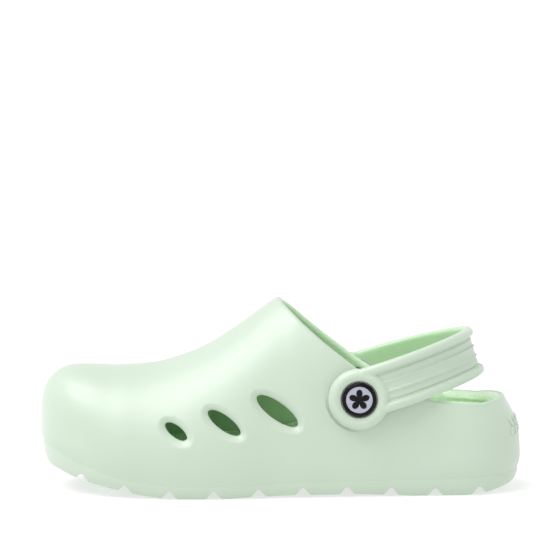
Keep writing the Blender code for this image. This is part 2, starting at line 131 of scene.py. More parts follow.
GROOVE_PITCH = 23.1
GROOVE_COUNT = 10
FIRST_GROOVE_X = -103.6
GROOVE_DEPTH = 4.3
GROOVE_HALF_WIDTH = 5.2

COLUMNS = 300  # points round the plan outline, an even number
RIM_STEPS = 12
HEEL_RIM_LEAN = 0.5  # how far the heel's rim bulges outwards
HEEL_RIM_START, HEEL_RIM_RUN = 60, 40
FLAT_RING_SHARES = (0.55, 0.7, 0.85)  # below about a half, the rings of a flat face would fold at the toe
SMOOTH_ANGLE = 35  # edges bent more than this many degrees stay sharp
SIDES = ((-1, "lateral"), (1, "medial"))

CAMERA_TARGET = (0, 0, 0.1106)
CAMERA_DISTANCE = 1.39
CAMERA_ELEVATION = math.radians(4.5)
CAMERA_LENS = 168

KEY_FROM = (-0.42, -0.24, 0.875)
KEY_STRENGTH = 2.35
KEY_COLOUR = (1, 0.95, 1)
KEY_SPREAD = math.radians(50)
HORIZON_LIGHT = 1.06
OVERHEAD_LIGHT = 0.75
TABLE_GLOW = 0.6
TABLE_HALF_WIDTH = 30000.0
FLOOR_GAP = 0.05  # keeps the table clear of the lugs that stand on it

# Tints of each rubber as (light, deep)
MINT = ((0.478, 0.59, 0.467), (0.462, 0.578, 0.452))
# The inside tints are the outside mint made greener and more saturated: painted bounce light, standing in for
# light reflected between the green walls inside.
STRAP_INSIDE_PAINTED_BOUNCE = ((0.48, 0.72, 0.43), (0.46, 0.7, 0.41))
BODY_INSIDE_PAINTED_BOUNCE = ((0.5, 0.73, 0.45), (0.47, 0.7, 0.42))
# Paler tint for the inside of the heel: painted light where the heel's inside wall is open to the light.
HEEL_INSIDE_PAINTED_LIGHT = (0.72, 0.9, 0.67)
FOOTBED_GREEN = ((0.56, 0.8, 0.5), (0.53, 0.77, 0.47))

# ---- Curves along the clog, as (x, value) -----------------------------------------------------------

HALF_WIDTH = (
    (-128, 43), (-100, 45.5), (-78, 47.5), (-50, 49), (-25, 46.5), (0, 43), (25, 41), (45, 39.4),
    (70, 37.2), (92, 35.6), (128, 34),
)
CENTRE_LINE = ((-128, 6.5), (-100, 4.5), (-75, 1.8), (-50, 0), (-20, -1.2), (10, -0.8), (40, 0), (128, 0))
CROWN = (
    (-128, 72.5), (-122, 71.8), (-113, 70.3), (-104, 68.2), (-96, 66.6), (-87, 65.3), (-79, 65.4),
    (-70, 66.3), (-62, 67.8), (-53, 70.6), (-45, 73.7), (-36, 78.1), (-28, 83.2), (-19, 89.4),
    (-10.5, 95.8), (-2, 101.6), (10, 107.5), (30, 108.5), (50, 100), (70, 87), (90, 73), (110, 62),
    (128, 58.5),
)
SQUARENESS = (
    (-128, 3.3), (-115, 3.0), (-100, 2.5), (-85, 2.15), (-60, 2.0), (0, 2.05), (25, 2.3), (45, 2.5),
    (80, 2.5), (128, 2.4),
)
BELLY = (  # height of the widest line
    (-128, 31), (-112, 27), (-90, 21.5), (-60, 18), (0, 18), (60, 19), (128, 18),
)
SEAM = (
    (-128, 26.6), (-120, 23.4), (-109, 18.6), (-98, 14.6), (-85, 11), (-70, 8.4), (-50, 7), (-20, 7.4),
    (20, 8.4), (80, 9.2), (105, 10), (120, 11.2), (128, 12.4),
)
COLLAR = (
    (-2, 100.4), (5.3, 93.9), (10.5, 89.2), (21, 79.9), (31.2, 71.8), (42.6, 63.2), (54, 56.4),
    (64, 52.6), (73, 49.9), (83, 47.6), (94, 46.4), (105, 46.3), (113.5, 47.6), (128, 50),
)
COLLAR_OVER = (  # for each x on the plan outline, the x of the collar point above it
    (-128, -2), (-100, 0.4), (-60, 6), (-20, 16), (20, 33), (50, 53), (75, 75.5), (92, 91.5),
    (128, 120),
)
FLOOR = (
    (-128, 36), (-118, 30), (-105, 24.5), (-85, 19), (-60, 16), (-30, 16.4), (0, 18.6), (30, 21.6),
    (60, 23.6), (90, 24.4), (128, 25),
)
FOOTBED_LIP = (  # height of its edge above the floor
    (-128, 6), (-60, 6), (0, 9), (50, 15), (80, 17), (128, 17),
)
TREAD = (
    (-128, 13), (-122, 12), (-112, 9.2), (-100, 6.4), (-92, 4.9), (-85, 3.6), (-73, 1.5), (-62, 0.4),
    (-52, 0), (-28, 0), (-14, 0.5), (6, 1.1), (40, 1.1), (60, 0.5), (70, 0), (96, 0), (104, 0.3),
    (112, 1.2), (120, 2.8), (128, 4.4),
)
GROOVE_PROFILE = (  # across in half widths, rise in depths
    (-1.5, -1.2), (-1.15, -0.5), (-0.95, -0.16), (-0.78, 0.06), (-0.6, 0.26), (-0.4, 0.58),
    (-0.24, 0.84), (-0.1, 0.98), (0.1, 0.98), (0.24, 0.84), (0.4, 0.58), (0.6, 0.26), (0.78, 0.06),
    (0.95, -0.16), (1.15, -0.5), (1.5, -1.2),
)
STRAP_HALF_SECTION = (  # up from the band's middle, out from its middle skin
    (0, 0.3), (1.5, 0.4), (2.1, 0.65), (2.5, 1.3), (2.75, 1.25), (3.0, 0.35), (3.5, 0.2), (5, 0.35),
    (6.2, 0.6), (6.9, 0.5), (7.3, -0.15), (7.7, -0.1), (8, 0.8), (8.3, 1.7), (8.8, 2.35), (9.6, 2.68),
    (10.6, 2.7), (11.6, 2.4), (12.5, 1.6), (12.9, 0.5), (12.9, -0.9), (12.4, -2), (11.2, -2.62),
    (9, -2.7), (4, -2.7), (0, -2.7),
)


def curve_through(stations):
    """A smooth curve through (x, value) stations that never swings past them, held level beyond the ends."""
    xs, values = np.array(stations, float).T
    rates = np.diff(values) / np.diff(xs)
    before, after = rates[:-1], rates[1:]
    same_way = before * after > 0
    total = np.where(same_way, before + after, 1)
    inner = np.where(same_way, 2 * before * after / total, 0)
    slopes = np.concatenate([rates[:1], inner, rates[-1:]])

    def value(x):
        x = np.clip(np.asarray(x, float), xs[0], xs[-1])
        i = np.clip(np.searchsorted(xs, x, side="right") - 1, 0, len(xs) - 2)
        span = xs[i + 1] - xs[i]
        t = (x - xs[i]) / span
        keep = 2 * t**3 - 3 * t**2 + 1
        leave = t**3 - 2 * t**2 + t
        arrive = t**3 - t**2
        bend = span * (leave * slopes[i] + arrive * slopes[i + 1])
        return keep * values[i] + (1 - keep) * values[i + 1] + bend

    return value


half_width = curve_through(HALF_WIDTH)
centre_line = curve_through(CENTRE_LINE)
crown = curve_through(CROWN)
squareness = curve_through(SQUARENESS)
belly = curve_through(BELLY)
seam = curve_through(SEAM)
collar = curve_through(COLLAR)
collar_over = curve_through(COLLAR_OVER)
floor_height = curve_through(FLOOR)
footbed_lip = curve_through(FOOTBED_LIP)
tread = curve_through(TREAD)


# ---- The clog's outer shape --------------------------------------------------------------------------


def end_share(x):
    """0 between the two rounded ends, rising to 1 at each tip."""
    toe = np.clip((TOE_TIP + TOE_CAP - x) / TOE_CAP, 0, None)
    heel = np.clip((x - HEEL_TIP + HEEL_CAP) / HEEL_CAP, 0, None)
    return np.maximum(toe, heel)


def level(x, y):
    """0 on the centre line, growing to 1 on the plan outline."""
    across = np.abs(y - centre_line(x)) / half_width(x)
    return (end_share(x) ** CAP_POWER + across**CAP_POWER) ** (1 / CAP_POWER)


def level_at(x, z):
    """The level at which the outer shape is z high."""
    power = squareness(x)
    rise = np.clip((z - belly(x)) / (crown(x) - belly(x)), 0, 1)
    return (1 - rise**power) ** (1 / power)


def height(x, y):
    """Height of the outer shape above its widest line, as if it had no collar opening."""
    power = squareness(x)
    inside = np.clip(1 - np.minimum(level(x, y), 1) ** power, 0, None)
    return belly(x) + (crown(x) - belly(x)) * inside ** (1 / power)


def side_reach(x, at_level):
    """Distance from the centre line out to a level."""
    inside = np.clip(at_level**CAP_POWER - end_share(x) ** CAP_POWER, 0, None)
    return half_width(x) * inside ** (1 / CAP_POWER)


def outward(points):
    """Unit normals of the outer shape at points on it, level at and below the widest line."""

    def field(x, y, z):
        power = squareness(x)
        rise = np.clip((z - belly(x)) / (crown(x) - belly(x)), 0, None)
        return level(x, y) ** power + rise**power

    x, y, z = np.moveaxis(points, -1, 0)
    z = np.maximum(z, belly(x))
    step = 0.05
    slope = np.stack(
        [
            field(x + step, y, z) - field(x - step, y, z),
            field(x, y + step, z) - field(x, y - step, z),
            np.where(z > belly(x) + step, field(x, y, z + step) - field(x, y, z - step), 0),
        ],
        axis=-1,
    )
    return slope / np.linalg.norm(slope, axis=-1, keepdims=True)


def along_length(count):
    """x of count points from toe tip to heel tip, spaced evenly along the edge of the outline."""
    x = -LENGTH / 2 * np.cos(np.linspace(0, math.pi, 4000))
    y = side_reach(x, np.ones_like(x))
    run = np.concatenate([[0], np.cumsum(np.hypot(np.diff(x), np.diff(y)))])
    return np.interp(np.linspace(0, run[-1], count), run, x)


def both_sides(x, reach):
    """A closed loop in plan: from the toe along the lateral side to the heel, and back on the medial side."""
    lateral = np.stack([x, centre_line(x) - reach], axis=-1)
    medial = np.stack([x, centre_line(x) + reach], axis=-1)
    return np.concatenate([lateral, medial[-2:0:-1]])


EDGE_X = along_length(COLUMNS // 2 + 1)
OUTLINE = both_sides(EDGE_X, side_reach(EDGE_X, np.ones_like(EDGE_X)))


def collar_loop():
    """Plan points of the collar's outer edge, one for each point of the outline."""
    x = collar_over(EDGE_X)
    reach = side_reach(x, level_at(x, collar(x)))
    reach[0] = reach[-1] = 0
    return both_sides(x, reach)


def resampled(path, count):
    """count points spaced evenly along a path."""
    run = np.concatenate([[0], np.cumsum(np.linalg.norm(np.diff(path, axis=0), axis=1))])
    at = np.linspace(0, run[-1], count)
    return np.stack([np.interp(at, run, path[:, axis]) for axis in range(3)], axis=-1)


def outer_paths(upper_steps=260, lower_steps=30, crowding=2.4):
    """For each point of the outline, the path up the outside from the sole seam to the collar."""
    away = outward(np.column_stack([OUTLINE, belly(OUTLINE[:, 0])]))[:, :2]
    share = np.linspace(0, 1, upper_steps)[:, None] ** crowding
    paths = []
    for edge, out, top in zip(OUTLINE, away, collar_loop()):
        plan = edge + share * (top - edge)
        upper = np.column_stack([plan, height(plan[:, 0], plan[:, 1])])
        low, widest = seam(edge[0]), belly(edge[0])
        z = np.linspace(low, widest, lower_steps)[:-1]
        tuck = SIDE_TUCK * ((widest - z) / (widest - low)) ** 2
        lower = np.column_stack([edge - out * tuck[:, None], z])
        paths.append(np.concatenate([lower, upper]))
    return np.array(paths)


OUTER = outer_paths()
NORMALS = outward(OUTER)


def wall_thickness(x):
    return WALL + (HEEL_WALL - WALL) * np.clip((x - HEEL_WALL_START) / HEEL_WALL_RUN, 0, 1)


def outer_loops(rows):
    return list(np.array([resampled(path, rows) for path in OUTER]).transpose(1, 0, 2))


def inner_loops(inset, low, rows, high=None):
    """Loops inset from the outer skin, from height low(x) up to high(x), or to the collar."""
    skin = OUTER - NORMALS * inset(OUTER[..., 0])[..., None]
    loops = []
    for path in skin:
        keep = path[:, 2] >= low(path[:, 0])
        if high:
            keep &= path[:, 2] <= high(path[:, 0])
        part = path[keep]
        first = part[0].copy()
        first[2] = low(first[0])
        loops.append(resampled(np.concatenate([[first], part[1:]]), rows))
    return list(np.array(loops).transpose(1, 0, 2))


def rim_loops(outer, inner, count):
    """Half-round edge from the top of the outer skin over to the top of the inner skin."""
    middle = (outer[-1] + inner[-1]) / 2
    half = (outer[-1] - inner[-1]) / 2
    up = outer[-1] - outer[-4]
    up /= np.linalg.norm(up, axis=1, keepdims=True)
    across = half / np.linalg.norm(half, axis=1, keepdims=True)
    up += HEEL_RIM_LEAN * across * np.clip((outer[-1][:, :1] - HEEL_RIM_START) / HEEL_RIM_RUN, 0, 1)
    up /= np.linalg.norm(up, axis=1, keepdims=True)
    radius = np.linalg.norm(half, axis=1, keepdims=True)
    turns = np.linspace(0, math.pi, count + 2)[1:-1]
    return [middle + half * math.cos(turn) + up * radius * math.sin(turn) for turn in turns]


def drawn_in(loop, share, height_at):
    """The loop drawn in towards the clog's spine, at the height height_at(x)."""
    x = loop[:, 0]
    straight = np.clip(x, TOE_TIP + TOE_CAP, HEEL_TIP - HEEL_CAP)
    spine_x = x + (straight - x) * np.minimum(1, end_share(x) * 1.5)
    plan_x = spine_x + share * (x - spine_x)
    plan_y = centre_line(x) + share * (loop[:, 1] - centre_line(x))
    return np.column_stack([plan_x, plan_y, height_at(plan_x)])


def flat_rings(loop, height_at):
    """The loops that a flat face needs between its spine and its edge, from the spine outwards."""
    return [drawn_in(loop, share, height_at) for share in FLAT_RING_SHARES]


# ---- Building meshes ---------------------------------------------------------------------------------


def add_ring(shape, points):
    return [shape.verts.new(Vector(point) * MM) for point in points]


def bridge(shape, first, second, slot=0):
    """Joins two rings of vertices with faces. A ring of one vertex is a pole."""
    count = max(len(first), len(second))
    for k in range(count):
        n = (k + 1) % count
        if len(first) == 1:
            face = shape.faces.new((first[0], second[k], second[n]))
        elif len(second) == 1:
            face = shape.faces.new((first[k], first[n], second[0]))
        else:
            face = shape.faces.new((first[k], first[n], second[n], second[k]))
        face.material_index = slot


def fill_across(shape, ring, slot=0):
    """Closes a loop round the clog with strips from its lateral to its medial side."""
    half = len(ring) // 2
    faces = [shape.faces.new((ring[0], ring[1], ring[-1]))]
    for i in range(1, half - 1):
        faces.append(shape.faces.new((ring[i], ring[i + 1], ring[-i - 1], ring[-i])))
    faces.append(shape.faces.new((ring[half - 1], ring[half], ring[half + 1])))
    for face in faces:
        face.material_index = slot


def add_skin(shape, loops, inner_from=None):
    """Adds a closed skin through loops. From bridge number inner_from on it takes the second material."""
    rings = [add_ring(shape, loop) for loop in loops]
    for number, (first, second) in enumerate(zip(rings, rings[1:])):
        slot = int(inner_from is not None and number >= inner_from)
        bridge(shape, first, second, slot)
    fill_across(shape, rings[0])
    fill_across(shape, rings[-1], slot)


def add_prism(shape, rings):
    """Adds a closed solid through rings of points, with a flat face at each end."""
    made = [add_ring(shape, ring) for ring in rings]
    for first, second in zip(made, made[1:]):
        bridge(shape, first, second)
    shape.faces.new(made[0])
    shape.faces.new(made[-1])


def add_turned(shape, profile, side=1, sides=96):
    """Adds a solid turned about the hinge line. profile holds (radius, distance out from the middle)."""
    rings = []
    for radius, out in profile:
        turns = [2 * math.pi * k / sides for k in range(sides if radius else 1)]
        points = [(PIVOT_X + radius * math.cos(t), side * out, PIVOT_Z + radius * math.sin(t)) for t in turns]
        rings.append(add_ring(shape, points))
    for first, second in zip(rings, rings[1:]):
        bridge(shape, first, second)
    return rings


def shade(mesh, smooth_angle):
    mesh.shade_smooth()
    mesh.set_sharp_from_angle(angle=math.radians(smooth_angle))


def new_piece(name, shape, materials):
    """Turns a bmesh into a piece, with its faces pointing out and its curved faces shaded smooth."""
    bmesh.ops.recalc_face_normals(shape, faces=shape.faces)
    mesh = bpy.data.meshes.new(name)
    shape.to_mesh(mesh)
    shape.free()
    shade(mesh, SMOOTH_ANGLE)
    for material in materials:
        mesh.materials.append(material)
    piece = bpy.data.objects.new(name, mesh)
    bpy.context.scene.collection.objects.link(piece)
    return piece


def cut_with(piece, operation, shape):
    """Applies one Boolean to the piece with a throwaway cutter."""
    cutter = new_piece("cutter", shape, [])
    modifier = piece.modifiers.new("cut", "BOOLEAN")
    modifier.operation = operation
    modifier.solver = "MANIFOLD"
    modifier.object = cutter
    keep_result(piece)
    bpy.data.objects.remove(cutter)


def keep_result(piece, smooth_angle=SMOOTH_ANGLE):
    """Replaces the piece's mesh with what its modifiers make of it."""
    graph = bpy.context.evaluated_depsgraph_get()
    mesh = bpy.data.meshes.new_from_object(piece.evaluated_get(graph))
    piece.modifiers.clear()
    piece.data = mesh
    shade(mesh, smooth_angle)


def finish_piece(piece, body, slot, *nodes):
    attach(piece, body)
    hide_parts(*nodes)


# ---- Body --------------------------------------------------------------------------------------------


def vent_ring(vent, grow, out, sides=64):
    """An oval on the outer side wall, grown by grow and moved out of the surface by out."""
    x, z, long_half, short_half = vent
    ring = []
    for k in range(sides):
        turn = 2 * math.pi * k / sides
        along = (long_half + grow) * math.cos(turn)
        up = (short_half + grow) * math.sin(turn)
        px = x + along * math.cos(VENT_SLOPE) - up * math.sin(VENT_SLOPE)
        pz = z + along * math.sin(VENT_SLOPE) + up * math.cos(VENT_SLOPE)
        reach = float(side_reach(px, level_at(px, pz)))
        ring.append((px, float(centre_line(px)) - reach - out, pz))
    return ring


def body_cutters():
    """The vents, the flats that the discs turn on, the rivet bores and the flats inside, in one mesh."""
    shape = bmesh.new()
    for vent in VENTS:
        add_prism(shape, [vent_ring(vent, grow, out) for grow, out in VENT_MOUTH])
    half = [
        (INNER_SEAT_RADIUS, INNER_SEAT_FACE), (BORE_RADIUS, INNER_SEAT_FACE), (BORE_RADIUS, SEAT_FACE),
        (FLAT_RADIUS, SEAT_FACE), (FLAT_RADIUS, BEYOND_SIDES), (0, BEYOND_SIDES),
    ]
    mirrored = [(radius, -out) for radius, out in half[::-1]]
    add_turned(shape, mirrored + half)
    return shape


def heel_surface(y, z):
    """x of the heel's outer skin at a height and a distance across."""
    low = np.full_like(y, 96.0)
    high = np.full_like(y, HEEL_TIP - 0.01)
    for _ in range(40):
        middle = (low + high) / 2
        inside = level(middle, y) < level_at(middle, z)
        low = np.where(inside, middle, low)
        high = np.where(inside, high, middle)
    return low


def add_leaf(shape, y, z, lean, sides=28):
    """Adds one raised leaf on the back of the heel, sunk a little into the skin."""
    half_long, half_short = LEAF_HALF_SIZE
    turn = np.linspace(0, 2 * math.pi, sides, endpoint=False)
    rings = []
    for grow, out in LEAF_RELIEF:
        along = half_long * grow * np.cos(turn)
        across = half_short * grow * np.sin(turn) * (1 - 0.35 * np.cos(turn))
        ring_y = y + along * math.cos(lean) - across * math.sin(lean)
        ring_z = z + along * math.sin(lean) + across * math.cos(lean)
        skin = np.column_stack([heel_surface(ring_y, ring_z), ring_y, ring_z])
        rings.append(skin + outward(skin) * out)
    add_prism(shape, rings)


def add_heel_sprig(shape):
    """A sprig of leaves moulded in relief across the back of the heel."""
    upper, lower = SPRIG_ROWS
    for side, _ in SIDES:
        half_turn = 0 if side > 0 else math.pi
        for step in range(SPRIG_PAIRS):
            y = side * (SPRIG_START + SPRIG_PITCH * step)
            droop = SPRIG_DROOP * step
            add_leaf(shape, y, upper - droop, half_turn + side * SPRIG_LEAN)
            add_leaf(shape, y + side * 1.2, lower - droop, half_turn - side * SPRIG_LEAN)


def seat_blocks():
    """Round blocks that stand 2 mm out of the wall, to be cut back to the flats that the discs turn on."""
    low, high = INNER_SEAT_FACE + 2, SEAT_FACE + 2
    shape = bmesh.new()
    for side, _ in SIDES:
        add_turned(shape, ((0, low), (SEAT_RADIUS, low), (SEAT_RADIUS, high), (0, high)), side)
    return shape


def make_body(outside, inside):
    outer = outer_loops(84)
    inner = inner_loops(wall_thickness, floor_height, 50)
    outward_loops = flat_rings(outer[0], seam) + outer + rim_loops(outer, inner, RIM_STEPS)
    inward_loops = inner[::-1] + flat_rings(inner[0], floor_height)[::-1]
    shape = bmesh.new()
    # The inside faces take the second material, whose greener tint is painted bounce light and, towards the
    # heel, painted light.
    add_skin(shape, outward_loops + inward_loops, len(outward_loops) - RIM_STEPS // 2)
    body = new_piece("body_shell", shape, [outside, inside])
    cut_with(body, "UNION", seat_blocks())
    cut_with(body, "DIFFERENCE", body_cutters())
    sprig = bmesh.new()
    sprig.from_mesh(body.data)
    add_heel_sprig(sprig)
    sprig.to_mesh(body.data)
    sprig.free()
    finish_piece(body, "clog", "body_rubber", "clog_body")


# ---- Outsole and footbed -----------------------------------------------------------------------------


def outsole_side(rows):
    """Loops down the outsole's rounded edge, from the seam to the tread."""
    x = OUTLINE[:, 0]
    away = outward(np.column_stack([OUTLINE, belly(x)]))[:, :2]
    top = seam(x) - SEAM_GAP
    loops = []
    for turn in np.linspace(0, math.pi / 2, rows):
        inset = SIDE_TUCK + TREAD_TUCK * (1 - math.cos(turn))
        loops.append(np.column_stack([OUTLINE - away * inset, top + (tread(x) - top) * math.sin(turn)]))
    return loops


def groove_ring(x, y):
    """The bell-shaped section of one tread groove, square to the tread at x."""
    slope = float(tread(x + 4) - tread(x - 4)) / 8
    ring = []
    for across, rise in GROOVE_PROFILE:
        run = across * GROOVE_HALF_WIDTH
        ring.append((x + run, y, float(tread(x)) + slope * run + rise * GROOVE_DEPTH))
    return ring


def make_outsole(rubber):
    side = outsole_side(16)
    top = flat_rings(side[0], lambda x: seam(x) - SEAM_GAP)
    shape = bmesh.new()
    add_skin(shape, top + side + flat_rings(side[-1], tread)[::-1])
    sole = new_piece("tread_sole", shape, [rubber])
    grooves = bmesh.new()
    for i in range(GROOVE_COUNT):
        x = FIRST_GROOVE_X + i * GROOVE_PITCH
        add_prism(grooves, [groove_ring(x, -BEYOND_SIDES), groove_ring(x, BEYOND_SIDES)])
    cut_with(sole, "DIFFERENCE", grooves)
    finish_piece(sole, "clog", "sole_rubber", "outsole")


def make_footbed(rubber):
    def under(x):
        return floor_height(x) + GAP

    def top(x):
        return under(x) + FOOTBED_THICKNESS

    def lip(x):
        return floor_height(x) + footbed_lip(x)

    outside = inner_loops(lambda x: wall_thickness(x) + FOOTBED_SIDE_GAP, under, 20, lip)
    inside = inner_loops(lambda x: wall_thickness(x) + FOOTBED_SIDE_GAP + FOOTBED_CUP_WALL, top, 18, lip)
    outward_loops = flat_rings(outside[0], under) + outside + rim_loops(outside, inside, 5)
    inward_loops = inside[::-1] + flat_rings(inside[0], top)[::-1]
    shape = bmesh.new()
    add_skin(shape, outward_loops + inward_loops)
    finish_piece(new_piece("foot_bed", shape, [rubber]), "clog", "footbed_rubber", "footbed")


# ---- Heel strap --------------------------------------------------------------------------------------


def strap_path(steps):
    """The strap's middle line from the lateral disc round to the medial one, as (reach, y)."""
    span = STRAP_FACE + STRAP_THICKNESS / 2
    start, bend = STRAP_ARM_HANDLES
    handles = np.array([(start, span), (bend, span), (STRAP_REACH, 0.48 * span), (STRAP_REACH, 0)])
    t = np.linspace(0, 1, 800)[:, None]
    weights = np.hstack([(1 - t) ** 3, 3 * t * (1 - t) ** 2, 3 * t**2 * (1 - t), t**3])
    half = np.concatenate([[(STRAP_START, -span)], weights @ handles * (1, -1)])
    half = resampled(np.column_stack([half, np.zeros(len(half))]), steps)[:, :2]
    return np.concatenate([half, (half * (1, -1))[-2::-1]])


def softened(section):
    """The section with each corner cut off."""
    points = np.array(section, float)
    after = np.roll(points, -1, axis=0)
    return np.stack([0.75 * points + 0.25 * after, 0.25 * points + 0.75 * after], axis=1).reshape(-1, 2)


def strap_section():
    """The band's section as (up, out): two rounded rails, and a channel with two fine ribs between them."""
    half = [np.array(point) for point in STRAP_HALF_SECTION]
    mirrored = [point * (-1, 1) for point in half[-2:0:-1]]
    return softened(half + mirrored)


def on_strap(reach, rise, y):
    """A point of the strap, given along and across its side arm, in the row frame."""
    cos_tilt, sin_tilt = math.cos(STRAP_TILT), math.sin(STRAP_TILT)
    return (PIVOT_X + reach * cos_tilt - rise * sin_tilt, y, PIVOT_Z + reach * sin_tilt + rise * cos_tilt)


def band_rings():
    """The section carried along the strap's path, kept down to the web round the rivet head."""
    path = strap_path(120)
    along = np.gradient(path, axis=0)
    along /= np.linalg.norm(along, axis=1, keepdims=True)
    section = strap_section()
    rings = []
    for (reach, y), (run, drift) in zip(path, along):
        ring = []
        for up, out in section:
            rise = up + STRAP_RISE
            if math.hypot(reach, rise) < STRAP_WEB_RADIUS:
                out = min(out, STRAP_SEAT - STRAP_THICKNESS / 2)
            ring.append(on_strap(reach + drift * out, rise, y - run * out))
        rings.append(ring)
    return rings


def strap_disc_profile():
    """Half the section of a disc of the strap: softly rounded, dished down to the rivet head."""
    outer = STRAP_FACE + STRAP_DISC_THICKNESS
    radius = STRAP_DISC_RADIUS
    recess = RIVET_HEAD_RADIUS + 0.5
    floor = STRAP_FACE + STRAP_SEAT
    return (
        (BORE_RADIUS, STRAP_FACE), (radius - 1.4, STRAP_FACE), (radius - 0.5, STRAP_FACE + 0.4),
        (radius - 0.1, STRAP_FACE + 1.1), (radius, STRAP_FACE + 1.9), (radius - 0.2, outer - 2.6),
        (radius - 0.8, outer - 1.5), (radius - 1.7, outer - 0.65), (radius - 2.7, outer - 0.15),
        (radius - 3.6, outer), (radius - 4.6, outer - 0.15), (recess + 0.7, outer - 0.55),
        (recess + 0.2, outer - 0.85), (recess, outer - 1.3), (recess, floor), (BORE_RADIUS, floor),
    )


def junction_weight(point):
    """1 where the band runs into a disc, falling to 0 along the band and inside the disc's raised ring."""
    reach = math.hypot(point.x / MM - PIVOT_X, point.z / MM - PIVOT_Z)
    rise = min(1, max(0, (reach - JUNCTION_INSIDE) / 2))
    fall = min(1, max(0, (JUNCTION_OUTSIDE - reach) / 5))
    return 0.9 * rise * fall


def mark_painted_bounce_faces(mesh):
    """Gives the strap's faces that look in towards the ankle the second material, the inside rubber whose
    greener tint is painted bounce light.
    """
    middle = Vector((PIVOT_X + 20, 0, PIVOT_Z)) * MM
    for face in mesh.polygons:
        inwards = middle - face.center
        inwards.z = 0
        face.material_index = int(face.normal.dot(inwards.normalized()) > 0.55)


def band_and_discs():
    """The band and its two discs, as closed solids that overlap."""
    shape = bmesh.new()
    add_prism(shape, band_rings())
    for side, _ in SIDES:
        rings = add_turned(shape, strap_disc_profile(), side, 120)
        bridge(shape, rings[-1], rings[0])
    return shape


def join_skin(strap):
    """Makes one skin of the overlapping solids."""
    remesh = strap.modifiers.new("one_skin", "REMESH")
    remesh.mode = "VOXEL"
    remesh.voxel_size = STRAP_VOXEL * MM
    keep_result(strap, 180)


def blend_junctions(strap):
    """Smooths the whole skin a little, and far more where the band runs into its discs."""
    junction = strap.vertex_groups.new(name="junction")
    for vertex in strap.data.vertices:
        weight = junction_weight(vertex.co)
        if weight:
            junction.add([vertex.index], weight, "REPLACE")
    for name, group, rounds in (("soften_all", "", 1), ("blend_discs", "junction", JUNCTION_ROUNDS)):
        smooth = strap.modifiers.new(name, "SMOOTH")
        smooth.factor = 0.5
        smooth.iterations = rounds
        smooth.vertex_group = group
    keep_result(strap, 180)


def make_strap(rubber, inside_painted_light):
    strap = new_piece("strap_band", band_and_discs(), [rubber])
    join_skin(strap)
    blend_junctions(strap)
    strap.data.materials.clear()
    strap.data.materials.append(rubber)
    strap.data.materials.append(inside_painted_light)
    mark_painted_bounce_faces(strap.data)
    finish_piece(strap, "strap", "strap_rubber", "heel_strap")


# ---- Rivets ------------------------------------------------------------------------------------------


def rounded(profile, radius=0.35, steps=4):
    """The profile with each corner off the axis rounded."""
    points = [np.array(point, float) for point in profile]
    result = [points[0]]
    for before, corner, after in zip(points, points[1:], points[2:]):
        arrive, leave = before - corner, after - corner
        reach = min(radius, np.linalg.norm(arrive) * 0.45, np.linalg.norm(leave) * 0.45)
        start = corner + arrive / np.linalg.norm(arrive) * reach
        end = corner + leave / np.linalg.norm(leave) * reach
        for t in np.linspace(0, 1, steps):
            result.append((1 - t) ** 2 * start + 2 * t * (1 - t) * corner + t**2 * end)
    return [tuple(point) for point in result + [points[-1]]]


def blossom_ring(side, out, shrink, sides=160):
    """The outline of a flower with five round petals, standing on the hinge line."""
    ring = []
    for k in range(sides):
        turn = 2 * math.pi * k / sides
        petal = abs(math.cos(2.5 * (turn - math.pi / 2)))
        radius = (BLOSSOM_RADIUS + PETAL_LENGTH * petal**0.75) * shrink
        ring.append((PIVOT_X + radius * math.cos(turn), side * out, PIVOT_Z + radius * math.sin(turn)))
    return ring


def rivet_profiles():
    """Half sections, as (radius, distance out), of cap, stud and inlay, and how far out the inlay's face is."""
    head = STRAP_FACE + STRAP_SEAT + GAP
    top = head + RIVET_HEAD_HEIGHT
    inlay = top - EMBLEM_RECESS
    socket_end = head - 0.6
    shank_end = INNER_SEAT_FACE + 0.4
    socket = RIVET_PIN_RADIUS + GAP
    cap = (
        (0, socket_end), (socket, socket_end), (socket, shank_end), (RIVET_SHANK_RADIUS, shank_end),
        (RIVET_SHANK_RADIUS, head), (RIVET_HEAD_RADIUS, head), (RIVET_HEAD_RADIUS, top - 0.7),
        (RIVET_HEAD_RADIUS - 0.9, top), (EMBLEM_RADIUS + 0.3, top), (EMBLEM_RADIUS + 0.1, inlay), (0, inlay),
    )
    flange = INNER_SEAT_FACE - GAP
    back = flange - RIVET_FLANGE_THICKNESS
    pin_end = socket_end - GAP
    stud = (
        (0, back), (RIVET_FLANGE_RADIUS - 1.2, back), (RIVET_FLANGE_RADIUS, back + 0.8),
        (RIVET_FLANGE_RADIUS, flange), (RIVET_PIN_RADIUS, flange), (RIVET_PIN_RADIUS, pin_end - 0.7),
        (RIVET_PIN_RADIUS - 0.7, pin_end), (0, pin_end),
    )
    base = inlay + 0.05
    face = base + EMBLEM_THICKNESS
    emblem = ((0, base), (EMBLEM_RADIUS, base), (EMBLEM_RADIUS, face), (0, face))
    return cap, stud, emblem, face


def make_rivets(black, silver):
    """At each side: a cap and a stud in black, and a silver inlay that carries a black blossom."""
    cap, stud, emblem, face = rivet_profiles()
    parts = (
        ("cap", cap, black, "rivet_black"), ("stud", stud, black, "rivet_black"),
        ("emblem", emblem, silver, "emblem_silver"),
    )
    for side, word in SIDES:
        for part, profile, material, slot in parts:
            shape = bmesh.new()
            add_turned(shape, rounded(profile), side)
            piece = new_piece(f"{word}_{part}", shape, [material])
            finish_piece(piece, "clog", slot, f"{word}_rivet_{part}")
        shape = bmesh.new()
        add_prism(shape, [blossom_ring(side, face - 0.2, 1), blossom_ring(side, face + 0.12, 0.98)])
        blossom = new_piece(f"{word}_blossom", shape, [black])
        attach(blossom, "clog")


# ---- Materials ---------------------------------------------------------------------------------------


